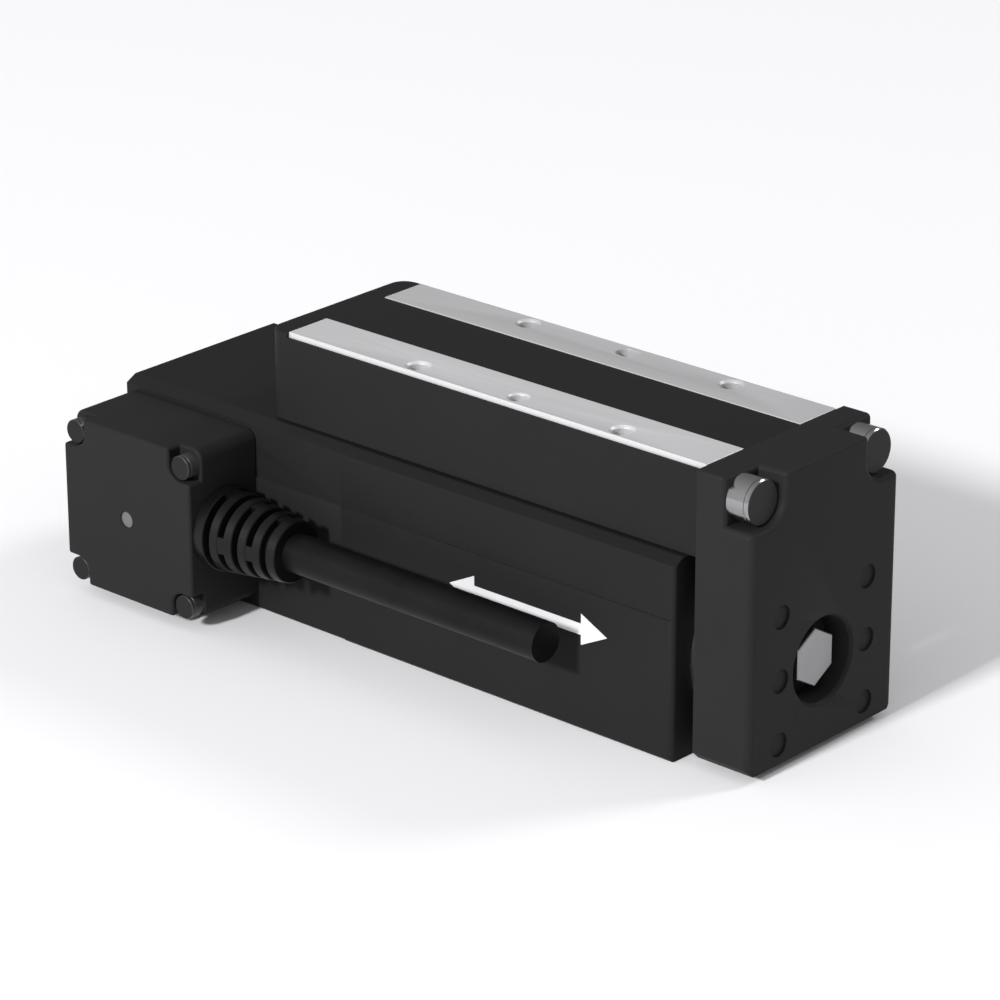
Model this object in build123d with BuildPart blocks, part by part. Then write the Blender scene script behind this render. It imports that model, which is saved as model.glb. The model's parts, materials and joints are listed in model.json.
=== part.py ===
from build123d import *
import math
import os

# Electric slide table: a stepper motor turns a lead screw, the screw's nut pushes a hollow rod,
# and the rod moves a table that runs on a ball rail on top of the body.
# Millimetres. +X is the way the table extends, +Z is up.
# The origin is the middle of the body's bottom face.

# ---- body --------------------------------------------------------------------------------------
BODY_LENGTH = 112.8
BODY_WIDTH = 35.6
BODY_HEIGHT = 31.8
BODY_REAR = -BODY_LENGTH / 2
BODY_FRONT = BODY_LENGTH / 2
SPLIT = BODY_REAR + 47.0          # joint between the rear housing and the main housing
EDGE_ACROSS = 2.1                 # bevel along the body's top edges
EDGE_DOWN = 1.1
BAND_HEIGHT = 22.3                # above this height the sides stand back a little
BAND_STEP = 0.2
REAR_INSET = 0.15                 # the rear housing is a little narrower than the main one
HALF_WIDTH = BODY_WIDTH / 2
REAR_HALF = HALF_WIDTH - REAR_INSET

# ---- screw axis and drive ----------------------------------------------------------------------
AXIS_HEIGHT = 14.5
SCREW_RADIUS = 3.0
SHAFT_RADIUS = 2.5
SCREW_TIP = BODY_REAR + 100.0
ROD_RADIUS = 6.0
RUNNING_GAP = 0.05                # radial clearance of every turning or sliding fit

# ---- motor -------------------------------------------------------------------------------------
MOTOR_SIDE = 25.0
MOTOR_FRONT = SPLIT
BELL_LENGTH = 6.0
STACK_LENGTH = 17.0
MOTOR_REAR = MOTOR_FRONT - 2 * BELL_LENGTH - STACK_LENGTH
STACK_START = MOTOR_REAR + BELL_LENGTH
STACK_END = STACK_START + STACK_LENGTH
MOTOR_BOLT_OFFSET = 9.5
POLES = 8
ROTOR_RADIUS = 6.5
STATOR_BORE = 6.6
SLOT_INNER = 7.4
SLOT_OUTER = 10.8
BEARING_OUTER = 5.5
BEARING_WIDTH = 4.0

# ---- table -------------------------------------------------------------------------------------
TABLE_REAR = BODY_REAR + 29.4
PLATE_BACK = BODY_FRONT + 3.2
PLATE_THICKNESS = 10.3
PLATE_FRONT = PLATE_BACK + PLATE_THICKNESS
PLATE_HALF = 17.0
PLATE_BOTTOM = 1.3
TABLE_HALF = 15.3
TABLE_BOTTOM = 32.2
TABLE_TOP = 46.5
CHANNEL_HALF = 10.2
CHANNEL_TOP = 41.8
STRIP_THICKNESS = 2.0
STRIP_SUNK = 1.9
LIP_DROP = 0.75                   # the outer lips beside the strips are this much lower
STRIP_INNER = 6.5
STRIP_OUTER = 14.8
STRIP_REAR = BODY_REAR + 33.7
STRIP_FRONT = PLATE_BACK
HOLE_PITCH = 20.0
HOLE_MIDDLE = BODY_REAR + 78.4
HOLE_ACROSS = 12.4
M4_TAP = 1.65
DOWEL = 1.5

# ---- rail --------------------------------------------------------------------------------------
RAIL_START = SPLIT + 2.0
RAIL_END = BODY_FRONT - 0.8
RAIL_HALF = 4.5
RAIL_TOP = BODY_HEIGHT + 6.5
GROOVE_HEIGHT = BODY_HEIGHT + 3.8
GROOVE_RADIUS = 0.75
CARRIAGE_START = RAIL_START + 0.8
CAP_LENGTH = 4.0
BLOCK_LENGTH = 23.0
CARRIAGE_HALF = 10.0

# ---- driver box on the near side ---------------------------------------------------------------
BOX_START = BODY_REAR + 0.9
BOX_LENGTH = 27.8
BOX_FACE = -32.1
BOX_BOTTOM = 2.1
BOX_TOP = 30.1
BOX_WALL = 2.0
BOX_SCREW_ACROSS = 2.25           # from the box's rear and front ends to its screws
BOX_SCREW_BELOW = 2.75            # from its top to the upper screws
BOX_SCREW_ABOVE = 2.1             # from its bottom to the lower screws
BOX_END = BOX_START + BOX_LENGTH
POCKET_DEPTH = 2.7

# ---- strain relief and cable -------------------------------------------------------------------
CABLE_ACROSS = -24.9
CABLE_HEIGHT = 16.3
RELIEF_LENGTH = 15.6
CABLE_RADIUS = 3.1
CABLE_LENGTH = 50.5


# ---- helpers: planes and simple solids along each axis ------------------------------------------
def plane_x(x):
    """Plane across X; its local axes are Y and Z."""
    return Plane.YZ.offset(x)


def plane_y(y):
    """Plane across Y; its local axes are X and Z and its normal is -Y."""
    return Plane.XZ.offset(-y)


def plane_z(z):
    """Plane across Z; its local axes are X and Y."""
    return Plane.XY.offset(z)


def block(low, high, mode=Mode.ADD):
    """Box between two corners."""
    with BuildSketch(plane_z(low[2])) as face:
        with Locations(((low[0] + high[0]) / 2, (low[1] + high[1]) / 2)):
            Rectangle(high[0] - low[0], high[1] - low[1])
    extrude(face.sketch, amount=high[2] - low[2], mode=mode)


def rods_x(radius, start, end, centres=((0, AXIS_HEIGHT),), mode=Mode.ADD):
    """Round bars along X, centred at (y, z) points."""
    with BuildSketch(plane_x(start)) as face:
        with Locations(*centres):
            Circle(radius)
    extrude(face.sketch, amount=end - start, mode=mode)


def rods_y(radius, start, end, centres, mode=Mode.ADD):
    """Round bars along Y, centred at (x, z) points."""
    with BuildSketch(plane_y(start)) as face:
        with Locations(*centres):
            Circle(radius)
    extrude(face.sketch, amount=start - end, mode=mode)


def rods_z(radius, start, end, centres, mode=Mode.ADD):
    """Round bars along Z, centred at (x, y) points."""
    with BuildSketch(plane_z(start)) as face:
        with Locations(*centres):
            Circle(radius)
    extrude(face.sketch, amount=end - start, mode=mode)


def cones(plane, centres, start_radius, end_radius, length, mode=Mode.ADD):
    """Cones from a plane along its normal; a negative length goes the other way."""
    taper = math.degrees(math.atan((start_radius - end_radius) / abs(length)))
    with BuildSketch(plane) as face:
        with Locations(*centres):
            Circle(start_radius)
    extrude(face.sketch, amount=length, taper=taper, mode=mode)


def sockets(plane, points, flats, depth):
    """Hexagon sockets cut behind a plane."""
    with BuildSketch(plane) as face:
        with Locations(*points):
            RegularPolygon(flats / math.sqrt(3), 6)
    extrude(face.sketch, amount=-depth, mode=Mode.SUBTRACT)


def body_block(start, end, half):
    """Body section with bevelled top edges."""
    with BuildSketch(plane_x(start)) as face:
        with BuildLine():
            Polyline(
                (-half, 0.5),
                (-half + 0.5, 0),
                (half - 0.5, 0),
                (half, 0.5),
                (half, BODY_HEIGHT - EDGE_DOWN),
                (half - EDGE_ACROSS, BODY_HEIGHT),
                (-half + EDGE_ACROSS, BODY_HEIGHT),
                (-half, BODY_HEIGHT - EDGE_DOWN),
                close=True,
            )
        make_face()
    extrude(face.sketch, amount=end - start)


def cut_bands(start, end, half):
    """Set the upper part of both sides back by the band step."""
    for side in (-1, 1):
        inner = side * (half - BAND_STEP)
        outer = side * (half + 1)
        block(
            (start - 1, min(inner, outer), BAND_HEIGHT),
            (end + 1, max(inner, outer), BODY_HEIGHT + 1),
            Mode.SUBTRACT,
        )


def on_skin(edge, low, high, depth):
    """Whether an edge lies in the outer layer of a box, of its own depth along each axis."""
    bounds = edge.bounding_box()
    starts = (bounds.min.X, bounds.min.Y, bounds.min.Z)
    ends = (bounds.max.X, bounds.max.Y, bounds.max.Z)
    return any(ends[i] < low[i] + depth[i] or starts[i] > high[i] - depth[i] for i in range(3))


def mirrored(y, z):
    """A point on each side of the body's middle plane."""
    return [(-y, z), (y, z)]


def square_points(offset):
    """Four points round the screw axis, at (y, z)."""
    return [(y, AXIS_HEIGHT + z) for y in (-offset, offset) for z in (-offset, offset)]


def save(builder, name):
    """Label a finished piece and write its file."""
    builder.part.label = name
    export_step(builder.part, f"parts/{name}.step")


os.makedirs("parts", exist_ok=True)

# ---- shared positions --------------------------------------------------------------------------
TIE_POINTS = mirrored(14.9, 8.8) + mirrored(14.9, 24.0)
MOTOR_BOLTS = square_points(MOTOR_BOLT_OFFSET)
HOLE_XS = [HOLE_MIDDLE - HOLE_PITCH, HOLE_MIDDLE, HOLE_MIDDLE + HOLE_PITCH]
BASE_ACROSS = 13.2
BASE_POINTS = [(x, y) for x in (HOLE_XS[0], HOLE_XS[2]) for y in (-BASE_ACROSS, BASE_ACROSS)]
BASE_DOWELS = [(HOLE_MIDDLE, -BASE_ACROSS), (HOLE_MIDDLE, BASE_ACROSS)]
BASE_HOLE_DEPTH = 8.0
RAIL_SCREW_XS = [RAIL_START + 11.5 + 20.0 * i for i in range(3)]
RAIL_SCREWS = [(x, 0) for x in RAIL_SCREW_XS]
RAIL_SCREW_DEPTH = 5.5
BOX_SCREWS = [
    (x, z)
    for x in (BOX_START + BOX_SCREW_ACROSS, BOX_END - BOX_SCREW_ACROSS)
    for z in (BOX_BOTTOM + BOX_SCREW_ABOVE, BOX_TOP - BOX_SCREW_BELOW)
]
BOX_SCREW_TIP = -REAR_HALF + 4.0
CAVITY_HALF = 12.8
COVER_THICKNESS = 1.4
COVER_INSET = 0.55
BOARD_X = BODY_REAR + 10.0
STANDOFFS = [(0, AXIS_HEIGHT - 10.2), (0, AXIS_HEIGHT + 10.2)]
CARRIAGE_MIDDLE = CARRIAGE_START + CAP_LENGTH + BLOCK_LENGTH / 2
CARRIAGE_BOLTS = [(CARRIAGE_MIDDLE + x, y) for x in (-5.0, 5.0) for y in (-7.5, 7.5)]
FLANGE_THICKNESS = 1.2
FLANGE_RADIUS = 13.8
FLANGE_BOLTS = [
    (11.2 * math.sin(math.radians(a)), AXIS_HEIGHT + 11.2 * math.cos(math.radians(a)))
    for a in (60, 180, 300)
]
CORNER_ACROSS = 13.2
CORNER_HEIGHT = 42.7
CORNER_SCREWS = mirrored(CORNER_ACROSS, CORNER_HEIGHT)
CORNER_HEAD = 3.45
CORNER_SEAT = PLATE_FRONT - 5.2
CORNER_POCKET = 3.7
BOX_DEPTH = -REAR_HALF - BOX_FACE
BOX_X_MIDDLE = (BOX_START + BOX_END) / 2
BOX_Z_MIDDLE = (BOX_BOTTOM + BOX_TOP) / 2
BOX_HEAD = 1.9
BOX_POCKET = 2.2
POCKET_REACH = 4.0
POST_EDGE = 1.1
BOX_HEAD_FACE = BOX_FACE + 0.4
POST_HALF = 3.4
LIGHT_RADIUS = 1.3
LIGHT_POINT = [(BOX_X_MIDDLE - 0.25, BOX_Z_MIDDLE - 0.4)]
BOARD_FACE = BOX_FACE + 4.2
BOARD_CHIPS = [
    (BODY_REAR + 5.0, 12.4, 6.0, 5.4, 2.6),
    (BODY_REAR + 13.0, 10.0, 5.0, 5.0, 1.6),
    (BODY_REAR + 13.0, 17.5, 5.0, 4.0, 2.2),
    (BODY_REAR + 20.5, 11.5, 4.0, 8.0, 1.2),
]
CABLE_POINT = [(CABLE_ACROSS, CABLE_HEIGHT)]
CABLE_START = BOX_END + RELIEF_LENGTH
RELIEF_COLLAR = 6.7
RELIEF_TIP = 4.9
RELIEF_NECK = 4.2
RELIEF_CORE = 4.0
RELIEF_FLANGE = 2.0
RELIEF_PITCH = 2.7
RELIEF_GAP = 1.15
RELIEF_SLOTS = [RELIEF_FLANGE + RELIEF_PITCH * i for i in range(5)]
WINDOW_START = BODY_REAR + 5.5
WINDOW_END = BODY_REAR + 15.5
WINDOW_BOTTOM = 12.2
WINDOW_TOP = 20.0
COVER_FRONT = BODY_REAR + COVER_THICKNESS
COVER_TOP = BODY_HEIGHT - 1.3
TOOTH_WIDTH = 2.6
TOOTH_MIDDLE = 9.0
COIL_OVERHANG = 2.5
BALL_RADIUS = 0.75
BALL_PITCH = 4.0
BALL_COUNT = 9
SPIN_AXIS = Axis((0, 0, AXIS_HEIGHT), (1, 0, 0))
FLANGE_FRONT = BODY_FRONT + FLANGE_THICKNESS
GROOVE_CENTRE = RAIL_HALF + 0.12
PLUG_POINTS = [(y, AXIS_HEIGHT + z) for y in (-10.0, 10.0) for z in (-10.0, 0.0, 10.0)]
PLUG_RADIUS = 1.85
BOLT_SEAT = PLATE_FRONT - 5.0
SPIGOT_RADIUS = 4.0
SPIGOT_LENGTH = 3.0
NUT_START = BODY_REAR + 53.0
NUT_FLANGE = 3.0
NUT_LENGTH = 12.0
ROD_START = NUT_START + NUT_FLANGE
BUSH_START = BODY_REAR + 103.0
BUSH_END = BODY_FRONT - 1.8
BUSH_RADIUS = 9.0
SHAFT_REAR = MOTOR_REAR - 2.5
THREAD_START = SPLIT + 3.0
ROTOR_TEETH = 50
STRIP_FLOOR = TABLE_TOP - STRIP_SUNK
STRIP_TOP = STRIP_FLOOR + STRIP_THICKNESS
NEAR_TAPPED = [(HOLE_XS[0], -HOLE_ACROSS), (HOLE_XS[2], -HOLE_ACROSS)]
FAR_TAPPED = [(HOLE_XS[0], HOLE_ACROSS), (HOLE_XS[2], HOLE_ACROSS)]
TAPPED_HOLES = NEAR_TAPPED + FAR_TAPPED
DOWEL_HOLES = [(HOLE_MIDDLE, -HOLE_ACROSS), (HOLE_MIDDLE, HOLE_ACROSS)]
CAP_REAR = TABLE_REAR + 3.0
BLOCK_START = CARRIAGE_START + CAP_LENGTH
BLOCK_END = BLOCK_START + BLOCK_LENGTH
CARRIAGE_BALLS = 11
BALL_STEP = 2.0
POCKET_FLOOR = CORNER_HEIGHT - CORNER_POCKET
CORNER_FACE = PLATE_FRONT - 1.4
POCKET_RADIUS = 6.6
BOLT_FLATS = 8.0
BUMPER_THICKNESS = 1.2
TINY = 0.01
BOX_ROUND = 0.5
BOX_POCKET_ROUND = 0.5
PLATE_SIDE_ROUND = 1.3
PLATE_TOP_ROUND = 0.5
PLATE_POCKET_ROUND = 0.9
BOX_NEAR = BOX_POCKET + 2.5

# ==== fixed pieces ==============================================================================

# Main housing: bored block that holds the front bearing of the rod and carries the rail.
with BuildPart() as main_housing:
    body_block(SPLIT, BODY_FRONT, HALF_WIDTH)
    fillet(main_housing.edges().filter_by(Axis.Z).group_by(Axis.X)[-1], 0.9)
    cut_bands(SPLIT, BODY_FRONT, HALF_WIDTH)
    rods_x(7.55, SPLIT, SPLIT + 1.6, mode=Mode.SUBTRACT)
    rods_x(5.0, SPLIT, SPLIT + 5.0, mode=Mode.SUBTRACT)
    rods_x(8.5, SPLIT + 5.0, BUSH_START, mode=Mode.SUBTRACT)
    rods_x(BUSH_RADIUS, BUSH_START, BODY_FRONT, mode=Mode.SUBTRACT)
    rods_x(1.25, SPLIT, SPLIT + 4.6, MOTOR_BOLTS, Mode.SUBTRACT)
    rods_x(1.05, SPLIT, SPLIT + 6.5, TIE_POINTS, Mode.SUBTRACT)
    rods_x(0.85, BODY_FRONT - 4.0, BODY_FRONT, FLANGE_BOLTS, Mode.SUBTRACT)
    rods_z(M4_TAP, 0, BASE_HOLE_DEPTH, BASE_POINTS, Mode.SUBTRACT)
    rods_z(DOWEL, 0, 5.0, BASE_DOWELS, Mode.SUBTRACT)
    rods_z(1.5, BODY_HEIGHT - RAIL_SCREW_DEPTH - 0.3, BODY_HEIGHT, RAIL_SCREWS, Mode.SUBTRACT)
save(main_housing, "main_housing")

# Rear housing: shell round the motor and the encoder, with a recess for its cover.
with BuildPart() as rear_housing:
    body_block(BODY_REAR, SPLIT, REAR_HALF)
    cut_bands(BODY_REAR, SPLIT, REAR_HALF)
    block(
        (COVER_FRONT, -CAVITY_HALF, AXIS_HEIGHT - CAVITY_HALF),
        (SPLIT, CAVITY_HALF, AXIS_HEIGHT + CAVITY_HALF),
        Mode.SUBTRACT,
    )
    block(
        (BODY_REAR, -REAR_HALF + COVER_INSET + BAND_STEP, COVER_INSET),
        (COVER_FRONT, REAR_HALF - COVER_INSET - BAND_STEP, COVER_TOP),
        Mode.SUBTRACT,
    )
    rods_x(1.2, COVER_FRONT, SPLIT, TIE_POINTS, Mode.SUBTRACT)
    rods_y(1.25, -REAR_HALF, BOX_SCREW_TIP, BOX_SCREWS, Mode.SUBTRACT)
    block(
        (WINDOW_START, -REAR_HALF, WINDOW_BOTTOM),
        (WINDOW_END, -CAVITY_HALF, WINDOW_TOP),
        Mode.SUBTRACT,
    )
save(rear_housing, "rear_housing")

# Rear cover: plate set into the rear recess, held by the tie screws.
with BuildPart() as rear_cover:
    block(
        (BODY_REAR, -REAR_HALF + COVER_INSET + BAND_STEP, COVER_INSET),
        (COVER_FRONT, REAR_HALF - COVER_INSET - BAND_STEP, COVER_TOP),
    )
    chamfer(rear_cover.faces().sort_by(Axis.X)[0].edges(), 0.3)
    rods_x(1.1, BODY_REAR, COVER_FRONT, TIE_POINTS, Mode.SUBTRACT)
    cones(plane_x(BODY_REAR), TIE_POINTS, 1.85, 1.1, 1.0, Mode.SUBTRACT)
save(rear_cover, "rear_cover")

# Tie screws: long countersunk screws through the cover and the rear housing.
with BuildPart() as tie_screws:
    cones(plane_x(BODY_REAR + 0.1), TIE_POINTS, 1.75, 1.0, 1.0)
    rods_x(1.0, BODY_REAR + 1.1, SPLIT + 6.0, TIE_POINTS)
    sockets(plane_x(BODY_REAR + 0.1), TIE_POINTS, 1.3, -0.7)
save(tie_screws, "tie_screws")

def in_box_pocket(edge):
    """Whether an edge belongs to one of the box's corner pockets."""
    middle = edge.center()
    shallow = edge.bounding_box().max.Y < BOX_FACE + POCKET_DEPTH + TINY
    return shallow and any(
        abs(middle.X - x) < BOX_NEAR and abs(middle.Z - z) < BOX_NEAR for x, z in BOX_SCREWS
    )


# Driver box: cup that opens towards the body, with a corner pocket for each screw head.
with BuildPart() as driver_box:
    with BuildSketch(plane_y(BOX_FACE)) as outline:
        with Locations((BOX_X_MIDDLE, BOX_Z_MIDDLE)):
            RectangleRounded(BOX_LENGTH, BOX_TOP - BOX_BOTTOM, 1.8)
    extrude(amount=-BOX_DEPTH)
    fillet(driver_box.faces().sort_by(Axis.Y)[0].edges(), BOX_ROUND)
    block(
        (BOX_START + BOX_WALL, BOX_FACE + BOX_WALL, BOX_BOTTOM + BOX_WALL),
        (BOX_END - BOX_WALL, -REAR_HALF, BOX_TOP - BOX_WALL),
        Mode.SUBTRACT,
    )
    for x, z in BOX_SCREWS:
        corner_x = math.copysign(1, x - BOX_X_MIDDLE)
        corner_z = math.copysign(1, z - BOX_Z_MIDDLE)
        post_x = sorted((x - corner_x * POST_HALF, x + corner_x * POST_EDGE))
        post_z = sorted((z - corner_z * POST_HALF, z + corner_z * POST_EDGE))
        block(
            (post_x[0], BOX_FACE + 1.0, post_z[0]),
            (post_x[1], -REAR_HALF, post_z[1]),
        )
        pocket_x = sorted((x, x + corner_x * POCKET_REACH))
        pocket_z = sorted((z, z + corner_z * POCKET_REACH))
        reach_x = sorted((x - corner_x * BOX_POCKET, x + corner_x * POCKET_REACH))
        reach_z = sorted((z - corner_z * BOX_POCKET, z + corner_z * POCKET_REACH))
        pocket_floor = BOX_FACE + POCKET_DEPTH
        block((reach_x[0], BOX_FACE - 1, pocket_z[0]), (reach_x[1], pocket_floor, pocket_z[1]), Mode.SUBTRACT)
        block((pocket_x[0], BOX_FACE - 1, reach_z[0]), (pocket_x[1], pocket_floor, reach_z[1]), Mode.SUBTRACT)
    rods_y(BOX_POCKET, BOX_FACE - 1, BOX_FACE + POCKET_DEPTH, BOX_SCREWS, Mode.SUBTRACT)
    rods_y(1.35, BOX_FACE, -REAR_HALF, BOX_SCREWS, Mode.SUBTRACT)
    rods_y(LIGHT_RADIUS, BOX_FACE, BOX_FACE + BOX_WALL, LIGHT_POINT, Mode.SUBTRACT)
    rods_x(RELIEF_NECK, BOX_END - BOX_WALL, BOX_END, CABLE_POINT, Mode.SUBTRACT)
    box_low = (BOX_START, BOX_FACE, BOX_BOTTOM)
    box_high = (BOX_END, 0, BOX_TOP)
    box_skin = (BOX_ROUND + TINY, BOX_ROUND + TINY, BOX_ROUND + TINY)
    rims = [
        edge
        for edge in driver_box.edges()
        if in_box_pocket(edge) and on_skin(edge, box_low, box_high, box_skin)
    ]
    fillet(rims, BOX_POCKET_ROUND)
save(driver_box, "driver_box")

# Driver box screws: cap heads stand in the corner pockets.
with BuildPart() as driver_box_screws:
    rods_y(BOX_HEAD, BOX_HEAD_FACE, BOX_FACE + POCKET_DEPTH, BOX_SCREWS)
    rods_y(1.2, BOX_FACE + POCKET_DEPTH, BOX_SCREW_TIP - 0.3, BOX_SCREWS)
    chamfer(driver_box_screws.faces().group_by(Axis.Y)[0].edges(), 0.2)
save(driver_box_screws, "driver_box_screws")

# Light pipe: small lens of the status light, set just behind the box face.
with BuildPart() as light_pipe:
    rods_y(LIGHT_RADIUS, BOX_FACE + 0.25, BOX_FACE + BOX_WALL, LIGHT_POINT)
    rods_y(LIGHT_RADIUS + 0.7, BOX_FACE + BOX_WALL, BOX_FACE + BOX_WALL + 0.8, LIGHT_POINT)
    rods_y(0.9, BOX_FACE + BOX_WALL + 0.8, BOARD_FACE - 0.9, LIGHT_POINT)
save(light_pipe, "light_pipe")

# Driver board: circuit board with its light, power stages, capacitors and plugs.
with BuildPart() as driver_board:
    block(
        (BOX_START + BOX_WALL + 0.6, BOARD_FACE, BOX_BOTTOM + BOX_WALL + 4.6),
        (BOX_END - BOX_WALL - 2.0, BOARD_FACE + 1.2, BOX_TOP - BOX_WALL - 4.6),
    )
    for x, z, length, height, rise in BOARD_CHIPS:
        block((x, BOARD_FACE + 1.2, z), (x + length, BOARD_FACE + 1.2 + rise, z + height))
    block((LIGHT_POINT[0][0] - 0.8, BOARD_FACE - 0.8, LIGHT_POINT[0][1] - 0.6),
          (LIGHT_POINT[0][0] + 0.8, BOARD_FACE, LIGHT_POINT[0][1] + 0.6))
save(driver_board, "driver_board")

# Ribbon lead: joins the driver board to the encoder board through the window in the housing.
with BuildPart() as ribbon_lead:
    block(
        (BODY_REAR + 7.8, BOARD_FACE + 3.8, 12.9),
        (BODY_REAR + 8.2, -9.0, 17.1),
    )
save(ribbon_lead, "ribbon_lead")

# Strain relief: collar, ribbed taper and a flange inside the box wall.
with BuildPart() as strain_relief:
    with BuildSketch(plane_x(BOX_END)) as collar:
        with Locations(*CABLE_POINT):
            Circle(RELIEF_COLLAR)
    extrude(amount=RELIEF_FLANGE)
    rods_x(RELIEF_NECK, BOX_END - BOX_WALL, BOX_END, CABLE_POINT)
    rods_x(RELIEF_NECK + 0.9, BOX_END - BOX_WALL - 1.2, BOX_END - BOX_WALL, CABLE_POINT)
    taper_length = RELIEF_LENGTH - RELIEF_FLANGE
    cones(plane_x(BOX_END + RELIEF_FLANGE), CABLE_POINT, RELIEF_COLLAR - 0.1, RELIEF_TIP, taper_length)
    for start in RELIEF_SLOTS:
        with BuildSketch(plane_x(BOX_END + start)) as groove:
            with Locations(*CABLE_POINT):
                Circle(RELIEF_COLLAR + 1)
                Circle(RELIEF_CORE, mode=Mode.SUBTRACT)
        extrude(groove.sketch, amount=RELIEF_GAP, mode=Mode.SUBTRACT)
save(strain_relief, "strain_relief")

# Cable: straight lead out of the strain relief.
with BuildPart() as cable:
    rods_x(CABLE_RADIUS, CABLE_START, CABLE_START + CABLE_LENGTH, CABLE_POINT)
save(cable, "cable")

# ---- motor ------------------------------------------------------------------------------------

def bell(inner, outer):
    """Motor end bell between its inner face, at the laminations, and its outer face."""
    away = math.copysign(1, outer - inner)
    motor_square(inner, outer)
    rods_x(1.3, inner, outer, MOTOR_BOLTS, Mode.SUBTRACT)
    with BuildSketch(plane_x(inner)) as hollow:
        with Locations((0, AXIS_HEIGHT)):
            Circle(11.3)
            Circle(7.0, mode=Mode.SUBTRACT)
    extrude(hollow.sketch, amount=away * 3.5, mode=Mode.SUBTRACT)
    rods_x(BEARING_OUTER, inner, inner + away * (1.0 + BEARING_WIDTH), mode=Mode.SUBTRACT)
    rods_x(3.5, inner, outer, mode=Mode.SUBTRACT)


def motor_square(start, end):
    """Square motor section with bevelled corners."""
    with BuildSketch(plane_x(start)) as face:
        with Locations((0, AXIS_HEIGHT)):
            Rectangle(MOTOR_SIDE, MOTOR_SIDE)
        chamfer(face.vertices(), 2.0)
    extrude(face.sketch, amount=end - start)


with BuildPart() as motor_front_bell:
    bell(STACK_END, MOTOR_FRONT)
    rods_x(7.5, MOTOR_FRONT, MOTOR_FRONT + 1.4)
    rods_x(3.5, MOTOR_FRONT, MOTOR_FRONT + 1.4, mode=Mode.SUBTRACT)
save(motor_front_bell, "motor_front_bell")

with BuildPart() as motor_rear_bell:
    bell(STACK_START, MOTOR_REAR)
save(motor_rear_bell, "motor_rear_bell")

# Stator: laminations with eight teeth.
with BuildPart() as stator_stack:
    motor_square(STACK_START, STACK_END)
    rods_x(1.3, STACK_START, STACK_END, MOTOR_BOLTS, Mode.SUBTRACT)
    with BuildSketch(plane_x(STACK_START)) as slots:
        with Locations((0, AXIS_HEIGHT)):
            Circle(SLOT_OUTER)
            Circle(SLOT_INNER, mode=Mode.SUBTRACT)
            with PolarLocations(TOOTH_MIDDLE, POLES):
                Rectangle(5.0, TOOTH_WIDTH, mode=Mode.SUBTRACT)
            with PolarLocations(STATOR_BORE + 0.4, POLES, start_angle=180 / POLES):
                Rectangle(1.2, 1.0)
            Circle(STATOR_BORE)
    extrude(slots.sketch, amount=STACK_LENGTH, mode=Mode.SUBTRACT)
save(stator_stack, "stator_stack")

# Stator coils: one winding round each tooth.
with BuildPart() as stator_coils:
    with BuildSketch(plane_x(STACK_START - COIL_OVERHANG)) as windings:
        with Locations((0, AXIS_HEIGHT)):
            with PolarLocations(TOOTH_MIDDLE, POLES):
                Rectangle(2.6, TOOTH_WIDTH + 2.2)
    extrude(amount=STACK_LENGTH + 2 * COIL_OVERHANG)
    with BuildSketch(plane_x(STACK_START - 0.3)) as teeth:
        with Locations((0, AXIS_HEIGHT)):
            with PolarLocations(TOOTH_MIDDLE, POLES):
                Rectangle(4.0, TOOTH_WIDTH + 0.1)
    extrude(amount=STACK_LENGTH + 0.6, mode=Mode.SUBTRACT)
save(stator_coils, "stator_coils")

# Motor bolts: run through both bells and the laminations into the main housing.
with BuildPart() as motor_bolts:
    rods_x(2.2, MOTOR_REAR - 1.8, MOTOR_REAR, MOTOR_BOLTS)
    rods_x(1.2, MOTOR_REAR, SPLIT + 4.3, MOTOR_BOLTS)
    sockets(plane_x(MOTOR_REAR - 1.8), MOTOR_BOLTS, 2.0, -1.1)
save(motor_bolts, "motor_bolts")

BEARING_FRONTS = (STACK_START - 1.0, STACK_END + 1.0 + BEARING_WIDTH)


def bearing_rings(outer, inner):
    """A ring in each bell, as wide as the bearing."""
    for front in BEARING_FRONTS:
        with BuildSketch(plane_x(front)) as ring:
            with Locations((0, AXIS_HEIGHT)):
                Circle(outer)
                Circle(inner, mode=Mode.SUBTRACT)
        extrude(ring.sketch, amount=-BEARING_WIDTH)


def ball_races():
    """Grooves for the balls in both rings of both bearings."""
    for front in BEARING_FRONTS:
        with BuildSketch(Plane.XZ) as groove:
            with Locations((front - BEARING_WIDTH / 2, AXIS_HEIGHT + BALL_PITCH)):
                Circle(BALL_RADIUS + 0.03)
        revolve(groove.sketch, axis=SPIN_AXIS, mode=Mode.SUBTRACT)


with BuildPart() as bearing_outer_rings:
    bearing_rings(BEARING_OUTER, 4.7)
    ball_races()
save(bearing_outer_rings, "bearing_outer_rings")

with BuildPart() as bearing_inner_rings:
    bearing_rings(3.3, SHAFT_RADIUS)
    ball_races()
save(bearing_inner_rings, "bearing_inner_rings")

with BuildPart() as bearing_balls:
    for front in BEARING_FRONTS:
        for turn in range(BALL_COUNT):
            angle = 2 * math.pi * turn / BALL_COUNT
            centre = (
                front - BEARING_WIDTH / 2,
                BALL_PITCH * math.cos(angle),
                AXIS_HEIGHT + BALL_PITCH * math.sin(angle),
            )
            with Locations(centre):
                Sphere(BALL_RADIUS)
save(bearing_balls, "bearing_balls")

# Encoder board behind the motor, on two posts.
with BuildPart() as encoder_posts:
    rods_x(1.8, BOARD_X + 1.6, MOTOR_REAR, STANDOFFS)
    rods_x(0.85, BOARD_X + 1.6, BOARD_X + 5.0, STANDOFFS, Mode.SUBTRACT)
save(encoder_posts, "encoder_posts")

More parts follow.
